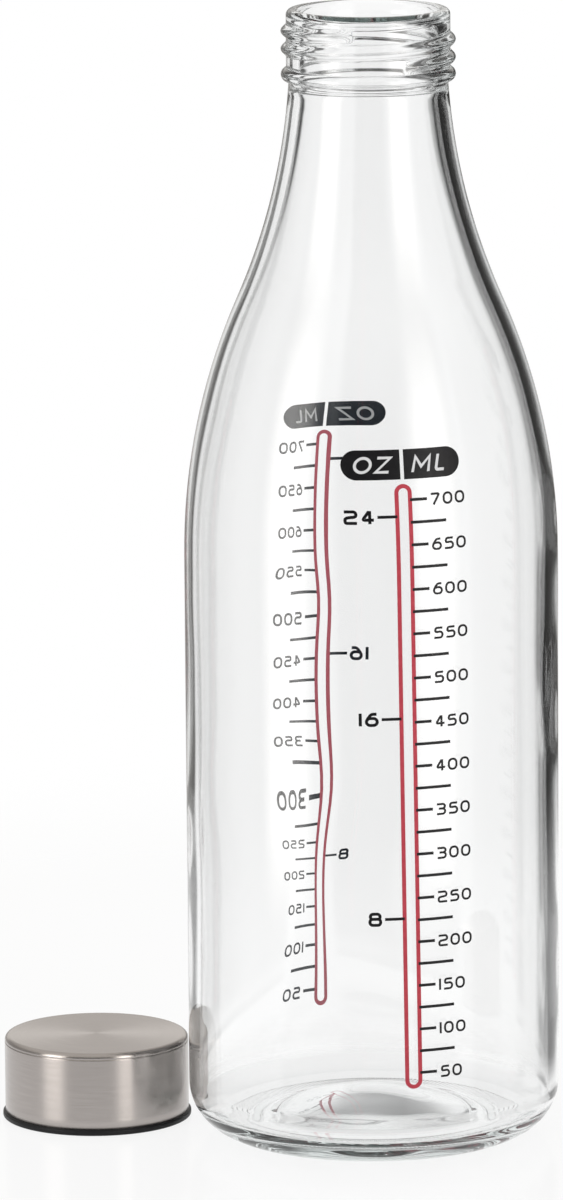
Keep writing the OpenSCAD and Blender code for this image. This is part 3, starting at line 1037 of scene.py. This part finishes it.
def seal_foam_material():
    """White polyethylene foam with fine closed cells under its skin."""
    material, tree, foam, output = new_material("seal_foam")
    feed(tree, foam, {
        "Base Color": blend(tree, object_noise(tree, 2500, 3), (0.70, 0.70, 0.68, 1),
                            (0.82, 0.82, 0.80, 1)),
        "Roughness": 0.7,
        "Normal": bump(tree, object_noise(tree, 3500, 3), 0.03 * mm)})
    return material


def seal_outline():
    """The disc in section, with the shallow ring that the bottle's rim has pressed."""
    outline = [(x * mm, seal_low + deep * mm) for x, deep in (
        (0, 0), (8, 0), (15.7, 0), (16, 0.06), (16.9, 0.08), (18, 0.06), (18.3, 0))]
    outline += arc(seal_radius - seal_edge, seal_low + seal_edge, seal_edge, -90, 0, 4)
    outline += arc(seal_radius - seal_edge, seal_top - seal_edge, seal_edge, 0, 90, 4)
    return outline + [(8 * mm, seal_top), (0, seal_top)]


seal = cap_piece("sealing_disc", seal_outline())
seal.data.materials.append(seal_foam_material())
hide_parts("cap_seal")
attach(seal, "liner")

# The studio
# A small pale table before a pale wall. Dark cards beside the wall give the edges of the glass
# their lines, two narrow soft boxes at the front show in the steel and on the neck, and two
# tall strips, which don't show, light the prints and the table.
table_radius = 420 * mm
# Within this radius the table is painted darker, as painted shade under the push-up.
painted_shade_radius = 21.5 * mm
painted_shade_edge = 2.5 * mm
table_glow = 0.85


def smooth_step(tree, value, low, high, out_low, out_high):
    """Eases from out_low to out_high while the value goes from low to high."""
    return new_node(tree, "ShaderNodeMapRange", {
        "Value": value, "From Min": low, "From Max": high, "To Min": out_low,
        "To Max": out_high}, interpolation_type="SMOOTHSTEP").outputs[0]


def table_material():
    """Pale table with a faint polish and painted shade under the push-up, where its colour is
    darker and it doesn't glow through the glass: nearly white to the camera and fading out to
    the background, but it keeps the shadows."""
    material, tree, paper, output = new_material("pale_floor")
    coordinates = new_node(tree, "ShaderNodeTexCoord").outputs["Object"]
    x, y, z = parts_of(tree, coordinates)
    away = from_axis(tree, x, y)
    through = any_of(tree, "Is Transmission Ray")
    # Painted shade: the paper goes from 0.93 down to 0.36 under the push-up, where it is seen only
    # through the glass.
    pale = smooth_step(tree, away, painted_shade_radius, painted_shade_radius + painted_shade_edge, 0.36, 0.93)
    paper_with_painted_shade = new_node(tree, "ShaderNodeCombineColor", {0: pale, 1: pale, 2: pale})
    feed(tree, paper, {"Base Color": paper_with_painted_shade.outputs[0], "Roughness": 0.9, "Specular IOR Level": 0})
    polish = new_node(tree, "ShaderNodeBsdfGlossy", {"Roughness": 0.12})
    surface = mixed_shaders(tree, between(tree, through, 0.3, 0), paper, polish)
    seen = times(tree, any_of(tree, "Is Camera Ray", "Is Glossy Ray"), table_glow)
    # Painted shade in the glow too: seen through the glass, the table glows only outside the
    # push-up.
    through_glow_with_painted_shade = times(tree, through,
                         smooth_step(tree, away, 22 * mm, 26 * mm, 0, table_glow))
    glow = new_node(tree, "ShaderNodeEmission", {"Strength": 1})
    surface = mixed_shaders(tree, reckon(tree, "MAXIMUM", seen, through_glow_with_painted_shade), surface, glow)
    gone = smooth_step(tree, away, 0.6 * table_radius, table_radius, 0, 1)
    gone_behind = times(tree, through, smooth_step(tree, away, 70 * mm, 110 * mm, 0, 1))
    open_air = new_node(tree, "ShaderNodeBsdfTransparent")
    surface = mixed_shaders(tree, reckon(tree, "MAXIMUM", gone, gone_behind), surface, open_air)
    feed(tree, output, {"Surface": surface.outputs[0]})
    return material


table_rings = [(table_radius * i / 6, -0.1 * mm, 96) for i in range(6, -1, -1)]
table = new_piece("pale_floor", turned_mesh("pale_floor", table_rings))
table.data.materials.append(table_material())


def ramp_round(tree, turn, stops):
    """A level for each direction, in degrees to the right of straight behind the bottle."""
    share = plus(tree, over(tree, turn, 2 * math.pi), 0.5)
    node = new_node(tree, "ShaderNodeValToRGB", {0: share})
    ramp = node.color_ramp
    ramp.interpolation = "EASE"
    while len(ramp.elements) < len(stops):
        ramp.elements.new(0.5)
    for element, (degrees, level) in zip(ramp.elements, stops):
        element.position = (degrees + 180) / 360
        element.color = (level, level, level, 1)
    return node.outputs[0]


def background(tree, level, colour=(1, 1, 1, 1)):
    """Surroundings of that level and colour."""
    return new_node(tree, "ShaderNodeBackground", {"Strength": level, "Color": colour})


room = 0.85
soft_box = 4.4
warm_white = (1, 0.97, 0.93, 1)
overhead_in_glass = 0.25
overhead_in_gloss = 0.8
world = bpy.data.worlds.new("studio")
bpy.context.scene.world = world
world.use_nodes = True
tree = world.node_tree
tree.nodes.clear()
direction = new_node(tree, "ShaderNodeTexCoord").outputs["Generated"]
east, north, up = parts_of(tree, direction)
turn = reckon(tree, "ARCTAN2", east, north)
through_glass = ramp_round(tree, turn, [
    (-176, 0.04), (-156, 0.04), (-140, 0.1), (-122, 0.1), (-114, 1), (-66, 1), (-61, 0.1),
    (-56, 0.1), (-52, 1), (-32, 1), (-28, 0.04), (-19, 0.04), (-15, 1), (12, 1),
    (15, 0.4), (19, 0.02), (64, 0.02), (82, 0.3), (100, 0.1), (110, 0.1), (116, 1),
    (154, 1), (162, 0.04), (176, 0.04)])
in_gloss = ramp_round(tree, turn, [
    (-178, 0.02), (-145, 0.02), (-132, 1), (-119, 1), (-106, 0.07), (-60, 0.08), (-25, 0.1),
    (0, 0.1), (14, 0.03), (60, 0.02), (100, 0.02), (121, 0.02), (133, 1), (145, 1),
    (158, 0.02), (178, 0.02)])
through_glass = blend(tree, smooth_step(tree, up, 0.30, 0.55, 0, 1), through_glass,
                      overhead_in_glass, "FLOAT")
far_wall = times(tree, smooth_step(tree, up, 0.04, 0.16, 0, 1),
                 smooth_step(tree, north, 0.75, 0.95, 0, 0.95))
in_gloss = reckon(tree, "MAXIMUM", times(tree, in_gloss, soft_box), far_wall)
in_gloss = blend(tree, smooth_step(tree, up, 0.25, 0.7, 0, 1), in_gloss, overhead_in_gloss,
                 "FLOAT")
light = mixed_shaders(tree, any_of(tree, "Is Glossy Ray"), background(tree, room),
                      background(tree, in_gloss, warm_white))
light = mixed_shaders(tree, any_of(tree, "Is Transmission Ray"), light,
                      background(tree, through_glass))
light = mixed_shaders(tree, any_of(tree, "Is Camera Ray"), light, background(tree, 1))
new_node(tree, "ShaderNodeOutputWorld", {"Surface": light.outputs[0]})


def strip_light(name, azimuth, distance, low, high, wide, level):
    """A tall soft strip that faces the bottle, azimuth in degrees to the right of the front."""
    lamp = bpy.data.lights.new(name, "AREA")
    lamp.shape = "RECTANGLE"
    lamp.size, lamp.size_y = wide, high - low
    lamp.color = (1, 0.98, 0.94)
    lamp.energy = level * math.pi * wide * (high - low)
    strip = bpy.data.objects.new(name, lamp)
    bpy.context.scene.collection.objects.link(strip)
    turn = math.radians(azimuth)
    strip.location = (distance * math.sin(turn), -distance * math.cos(turn), (low + high) / 2)
    aim = Vector((0, 0, (low + high) / 2)) - strip.location
    strip.rotation_euler = aim.to_track_quat("-Z", "Y").to_euler()
    strip.visible_camera = False
    strip.visible_transmission = False
    strip.visible_glossy = False


strip_light("left_strip", -53, 900 * mm, 0, 1000 * mm, 360 * mm, 1.7)
strip_light("right_strip", 42, 900 * mm, 0, 1000 * mm, 400 * mm, 1.7)

# The camera stands far back with a long lens. It tilts down to the bottle and has no shift, so
# that other views keep the object in their frame.
camera_place = (-16.27 * mm, -1978.42 * mm, 495.71 * mm)
camera_turns = ((0.114, "Z"), (79.311, "X"), (-0.434, "Z"))
lens = bpy.data.cameras.new("camera")
lens.lens = 268.41
lens.sensor_width = 36
camera = bpy.data.objects.new("camera", lens)
bpy.context.scene.collection.objects.link(camera)
aim = Matrix.Translation(camera_place)
for degrees, axis in camera_turns:
    aim = aim @ Matrix.Rotation(math.radians(degrees), 4, axis)
camera.matrix_world = aim
bpy.context.scene.camera = camera
bpy.context.scene.view_settings.view_transform = "Standard"
light_paths = bpy.context.scene.cycles
light_paths.max_bounces = 32
light_paths.glossy_bounces = 24
light_paths.transmission_bounces = 24
